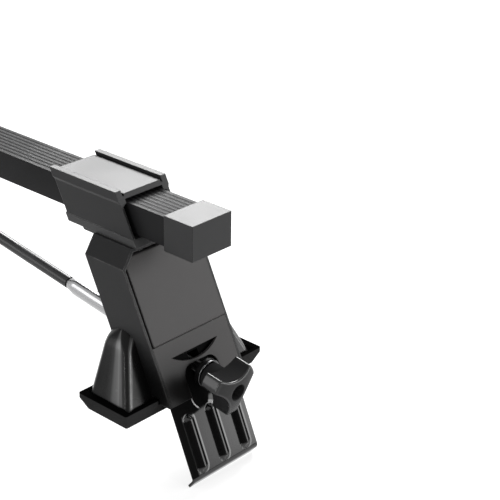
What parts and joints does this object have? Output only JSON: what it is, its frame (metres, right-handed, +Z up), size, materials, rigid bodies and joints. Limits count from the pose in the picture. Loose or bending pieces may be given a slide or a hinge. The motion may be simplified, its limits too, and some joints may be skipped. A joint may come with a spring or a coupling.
{
  "type": "roof rack crossbar",
  "caption": "Steel crossbar in a ribbed plastic sheath that stands across a car roof on two clamping feet, each tightened by a hand knob that pulls a hooked plate in under the roof's edge.",
  "frame": {"origin": "under the middle of the bar, at the height of the hook plates' folded lips, the lowest points", "axes": "+X along the bar towards the right foot, +Y across the bar towards the far side, +Z up"},
  "size_m": [1.2504, 0.131, 0.1903],
  "materials": {
    "tube_steel": "plain",
    "sheath_plastic": "ribbed, matt",
    "anchor_paint": "satin black paint",
    "plated_steel": "zinc plated",
    "cap_plastic": "fine grain",
    "bracket_paint": "satin black paint",
    "cradle_rubber": "matt",
    "tower_paint": "satin black paint",
    "panel_paint": "satin black paint, light grain",
    "base_plastic": "satin, fine grain",
    "pad_rubber": "matt",
    "hook_paint": "gloss black paint",
    "bright_steel": "bright plated",
    "sleeve_plastic": "gloss",
    "seat_plastic": "smooth",
    "washer_steel": "zinc plated",
    "knob_plastic": "satin, fine grain"
  },
  "bodies": {
    "bar": {"bar_tube": "tube_steel", "bar_sheath": "sheath_plastic", "centre_anchor": "anchor_paint", "anchor_screws": "plated_steel", "end_cap_right": "cap_plastic", "end_cap_left": "cap_plastic"},
    "foot_right": {"bracket_right": "bracket_paint", "bar_cradle_right": "cradle_rubber", "saddle_right": "bracket_paint", "saddle_screws_right": "plated_steel", "tower_right": "tower_paint", "front_panel_right": "panel_paint", "lower_cover_right": "panel_paint", "base_right": "base_plastic", "base_screws_right": "plated_steel", "pad_right": "pad_rubber", "hook_pin_right": "plated_steel", "tension_rod_right": "bright_steel", "rod_sleeve_right": "sleeve_plastic", "rod_pin_right": "plated_steel"},
    "hook_right": {"hook_plate_right": "hook_paint"},
    "seat_right": {"thrust_seat_right": "seat_plastic", "washer_right": "washer_steel"},
    "hand_knob_right": {"knob_right": "knob_plastic", "knob_insert_right": "plated_steel"},
    "foot_left": {"bracket_left": "bracket_paint", "bar_cradle_left": "cradle_rubber", "saddle_left": "bracket_paint", "saddle_screws_left": "plated_steel", "tower_left": "tower_paint", "front_panel_left": "panel_paint", "lower_cover_left": "panel_paint", "base_left": "base_plastic", "base_screws_left": "plated_steel", "pad_left": "pad_rubber", "hook_pin_left": "plated_steel", "tension_rod_left": "bright_steel", "rod_sleeve_left": "sleeve_plastic", "rod_pin_left": "plated_steel"},
    "hook_left": {"hook_plate_left": "hook_paint"},
    "seat_left": {"thrust_seat_left": "seat_plastic", "washer_left": "washer_steel"},
    "hand_knob_left": {"knob_left": "knob_plastic", "knob_insert_left": "plated_steel"}
  },
  "joints": [
    {"name": "foot_slide_right", "type": "slide", "parent": "bar", "child": "foot_right", "axis": [1, 0, 0], "range_m": [-0.03, 0.02]},
    {"name": "seat_travel_right", "type": "slide", "parent": "foot_right", "child": "seat_right", "axis": [-0.9901, 0, 0.1401], "range_m": [-0.0021, 0.002]},
    {"name": "knob_turn_right", "type": "hinge", "parent": "seat_right", "child": "hand_knob_right", "pos_m": [0.5963, 0, 0.07045], "axis": [-0.9901, 0, 0.1401], "range_deg": [-576, 540]},
    {"name": "hook_swing_right", "type": "hinge", "parent": "foot_right", "child": "hook_right", "pos_m": [0.5632, 0, 0.11044], "axis": [0, 1, 0], "range_deg": [-2.05, 1.92]},
    {"name": "foot_slide_left", "type": "slide", "parent": "bar", "child": "foot_left", "axis": [-1, 0, 0], "range_m": [-0.03, 0.02]},
    {"name": "seat_travel_left", "type": "slide", "parent": "foot_left", "child": "seat_left", "axis": [0.9901, 0, 0.1401], "range_m": [-0.0021, 0.002]},
    {"name": "knob_turn_left", "type": "hinge", "parent": "seat_left", "child": "hand_knob_left", "pos_m": [-0.5963, 0, 0.07045], "axis": [0.9901, 0, 0.1401], "range_deg": [-576, 540]},
    {"name": "hook_swing_left", "type": "hinge", "parent": "foot_left", "child": "hook_left", "pos_m": [-0.5632, 0, 0.11044], "axis": [0, -1, 0], "range_deg": [-2.05, 1.92]}
  ],
  "couplings": [
    {"joint": "seat_travel_right", "follows": "knob_turn_right", "m_per_rad": 0.00019894},
    {"joint": "hook_swing_right", "follows": "knob_turn_right", "ratio": 0.003377},
    {"joint": "seat_travel_left", "follows": "knob_turn_left", "m_per_rad": 0.00019894},
    {"joint": "hook_swing_left", "follows": "knob_turn_left", "ratio": 0.003377}
  ]
}
